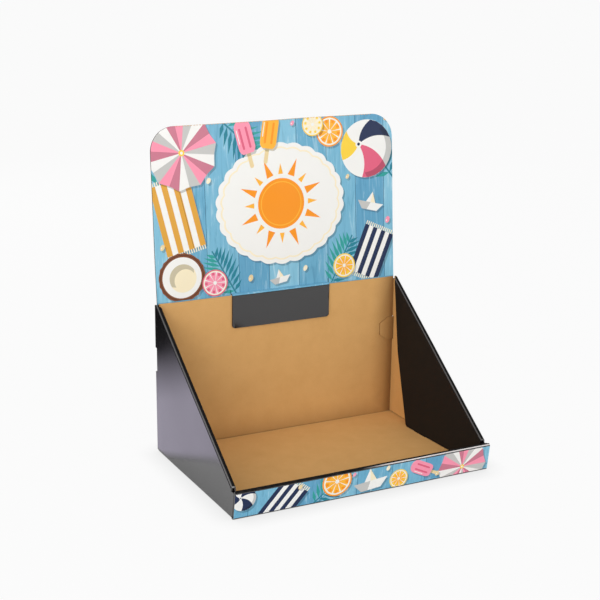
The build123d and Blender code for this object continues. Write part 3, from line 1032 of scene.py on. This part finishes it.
def makeHeader():
    bm = weldedCopy("header_card")
    low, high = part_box("header_card")
    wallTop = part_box("display_tray")[1].z
    lean = math.radians(headerLook["lean"])
    up = Vector((0, math.sin(lean), math.cos(lean)))
    out = acrossBoard.cross(up)
    parallel = faceLook["parallel"]
    above = [f for f in bm.faces if middle(f).z > wallTop]
    seeds = [f for f in above if f.normal.dot(out) > parallel]
    front = sortBoard(bm, seeds, [f for f in above if f.normal.dot(out) < -parallel])
    plane = middle(max(seeds, key=lambda f: f.calc_area())).dot(out)
    facing = [f for f in front if f.normal.dot(out) > parallel]
    panel = [f for f in facing if abs(middle(f).dot(out) - plane) < faceLook["flush"]]
    tints = printOn(bm, panel, up, headerPrint, high.x - low.x)
    print("header printed in", len(tints), "tints")
    slotLayer, foldLayer, inkLayer = layersOf(bm)
    tints.append((tint(inks[headerLook["earInk"]]), 1.0))
    for face in bm.faces:  # the print runs on over the ears behind the wall and onto the top of the tab
        onEar = abs(middle(face).x) > headerLook["tabHalf"]
        if face[slotLayer] == blackSlot and (onEar or face.normal.z > headerLook["tabTop"]):
            face[slotLayer] = pictureSlot
            face[inkLayer] = len(tints) - 1
            face[foldLayer] = flatBand
    edges = [f for f in bm.faces if f[slotLayer] == edgeSlot and f.normal.dot(up) > headerLook["edgeTurn"]]
    top = [f for f in edges if middle(f).z > high.z - headerLook["edgeDepth"]]
    centre, length = openEdge(bm, top)

    def kindOf(face):
        # the tab's top-facing fold strips take the shaded rolled copy of the black print, which shows no
        # highlight there
        return False, rolledSlot if face.normal.z > headerLook["tabFold"] else blackSlot

    def marksOf(spot, normal):  # no painted corner shade, painted highlights or painted crease shade on the card
        return 0.0, 0.0, 0.0

    finishBoard(bm, "printed_header", "header_card", tints, kindOf, marksOf)
    makeFlutes("header_flutes", centre, length, up)


makeTray()
makeHeader()


# studio

def shownTo(tree, camera, mirror):  # how far a white ground shows to the camera, and to mirrors and glass
    path = addNode(tree, "ShaderNodeLightPath").outputs
    mirrored = calc(tree, "MAXIMUM", path["Is Glossy Ray"], path["Is Transmission Ray"])
    seen = calc(tree, "MULTIPLY", path["Is Camera Ray"], camera)
    return calc(tree, "MAXIMUM", seen, calc(tree, "MULTIPLY", mirrored, mirror))


def stageSheet(name, meshName, corners, mat):
    mesh = bpy.data.meshes.new(meshName)
    mesh.from_pydata(corners, [], [(0, 1, 2, 3)])
    mesh.materials.append(mat)
    sheet = bpy.data.objects.new(name, mesh)
    scene.collection.objects.link(sheet)
    return sheet


floorLook = {"size": 30.0, "colour": 0.86, "seen": 0.97, "camera": 0.98, "mirror": 0.17, "shadowReach": 0.028,
             "shadowDepth": 0.25}


def makeFloor():
    mat = bpy.data.materials.new("paleFloor")
    tree = emptyTree(mat)
    grey = (floorLook["colour"],) * 3 + (1.0,)
    matt = addNode(tree, "ShaderNodeBsdfDiffuse", {"Color": grey}).outputs[0]
    reach = {"Distance": floorLook["shadowReach"]}
    # painted shadow: the floor's glow is darkened near the object by ambient occlusion
    unshaded = addNode(tree, "ShaderNodeAmbientOcclusion", reach).outputs["AO"]
    darkest = floorLook["seen"] * (1 - floorLook["shadowDepth"])
    level = ramp(tree, unshaded, 0.0, 1.0, darkest, floorLook["seen"])
    glow = addNode(tree, "ShaderNodeEmission", {"Strength": level}).outputs[0]
    shown = shownTo(tree, floorLook["camera"], floorLook["mirror"])
    mixed = addNode(tree, "ShaderNodeMixShader", {0: shown, 1: matt, 2: glow}).outputs[0]
    addNode(tree, "ShaderNodeOutputMaterial", {"Surface": mixed})
    half = floorLook["size"] / 2
    corners = [(-half, -half, 0), (half, -half, 0), (half, half, 0), (-half, half, 0)]
    stageSheet("studio_floor", "studioFloor", corners, mat)


worldLook = {"light": 0.34, "seen": 0.96, "colour": (1.0, 1.0, 1.0, 1.0)}


def makeWorld():
    world = bpy.data.worlds.new("studioWorld")
    scene.world = world
    tree = emptyTree(world)
    level = ramp(tree, shownTo(tree, 1.0, 1.0), 0.0, 1.0, worldLook["light"], worldLook["seen"])
    sky = addNode(tree, "ShaderNodeBackground", {"Color": worldLook["colour"], "Strength": level}).outputs[0]
    addNode(tree, "ShaderNodeOutputWorld", {"Surface": sky})


lampLook = {
    "overhead": {"at": (-0.15, -0.25, 1.5), "aim": (0, 0, 0.1), "size": (1.3, 1.3), "watts": 5.2},
    "left": {"at": (-1.5, -1.25, 0.9), "aim": (0, 0, 0.18), "size": (1.4, 1.4), "watts": 20.5},
    "right": {"at": (0.5, -1.7, 0.62), "aim": (0, 0, 0.18), "size": (1.2, 0.8), "watts": 8.8},
    "rear": {"at": (0.1, 1.7, 0.85), "aim": (0, 0, 0.2), "size": (1.2, 0.8), "watts": 11.0},
}


def makeLamps():
    for name, look in lampLook.items():
        lamp = bpy.data.lights.new(name, "AREA")
        lamp.shape = "RECTANGLE"
        lamp.size, lamp.size_y = look["size"]
        lamp.energy = look["watts"]
        holder = bpy.data.objects.new(name, lamp)
        holder.location = look["at"]
        holder.visible_camera = False
        way = Vector(look["aim"]) - Vector(look["at"])
        holder.rotation_euler = way.to_track_quat("-Z", "Y").to_euler()
        scene.collection.objects.link(holder)


cardLook = {"left": -1.1, "right": -0.1515, "near": 0.07, "slant": 0.86, "far": 1.3, "lift": 0.002,
            "soft": 0.03, "fade": (0.245, 0.44), "strength": 1.2, "grey": (0.42, 0.42, 0.42, 1.0),
            "pale": (0.885, 0.825, 1.0, 1.0), "dark": (0.008, 0.008, 0.008, 1.0)}


def makeCard():  # a glowing sheet on the table, grey, then pale lavender, then dark towards the back, which only mirror rays see: a painted reflection in the black walls, lit though it is no lamp
    left, right, near, far = (cardLook[k] for k in ("left", "right", "near", "far"))
    slant, z = cardLook["slant"], cardLook["lift"]
    mat = bpy.data.materials.new("paintedReflectionShades")
    tree = emptyTree(mat)
    spot = addNode(tree, "ShaderNodeSeparateXYZ", {"Vector": objectPlace(tree)}).outputs
    behind = calc(tree, "SUBTRACT", spot["Y"], calc(tree, "MULTIPLY", spot["X"], slant))
    start = near - slant * right
    paler = ramp(tree, behind, start, start + cardLook["soft"])
    front = blendColour(tree, paler, cardLook["grey"], cardLook["pale"])
    shade = blendColour(tree, ramp(tree, spot["Y"], *cardLook["fade"]), front, cardLook["dark"])
    glow = addNode(tree, "ShaderNodeEmission", {"Color": shade, "Strength": cardLook["strength"]}).outputs[0]
    addNode(tree, "ShaderNodeOutputMaterial", {"Surface": glow})
    corners = [(left, near + slant * (left - right), z), (right, near, z), (right, far, z), (left, far, z)]
    card = stageSheet("painted_reflection_card", "paintedReflectionCard", corners, mat)
    for ray in ("camera", "diffuse", "shadow"):
        setattr(card, "visible_" + ray, False)


cameraLook = {"azimuth": -27.151, "elevation": 15.702, "roll": 0.656, "distance": 1.4497,
              "target": (-0.026987, 0.0, 0.184905), "focalPixels": 1381.8, "framePixels": 600.0,
              "sensor": 36.0, "clip": (0.05, 60.0)}


def makeCamera():
    data = bpy.data.cameras.new("photoCamera")
    data.sensor_width = cameraLook["sensor"]
    data.lens = cameraLook["focalPixels"] / cameraLook["framePixels"] * data.sensor_width
    data.clip_start, data.clip_end = cameraLook["clip"]
    a, e, r = (math.radians(cameraLook[k]) for k in ("azimuth", "elevation", "roll"))
    back = Vector((math.sin(a) * math.cos(e), -math.cos(a) * math.cos(e), math.sin(e)))
    right = Vector((math.cos(a), math.sin(a), 0.0))
    up = back.cross(right)
    side, top = right * math.cos(r) + up * math.sin(r), up * math.cos(r) - right * math.sin(r)
    camera = bpy.data.objects.new("photo_camera", data)
    camera.matrix_world = Matrix((side, top, back)).transposed().to_4x4()
    camera.location = Vector(cameraLook["target"]) + back * cameraLook["distance"]
    scene.collection.objects.link(camera)
    scene.camera = camera


makeFloor()
makeWorld()
makeLamps()
makeCard()
makeCamera()
print("studio ready")
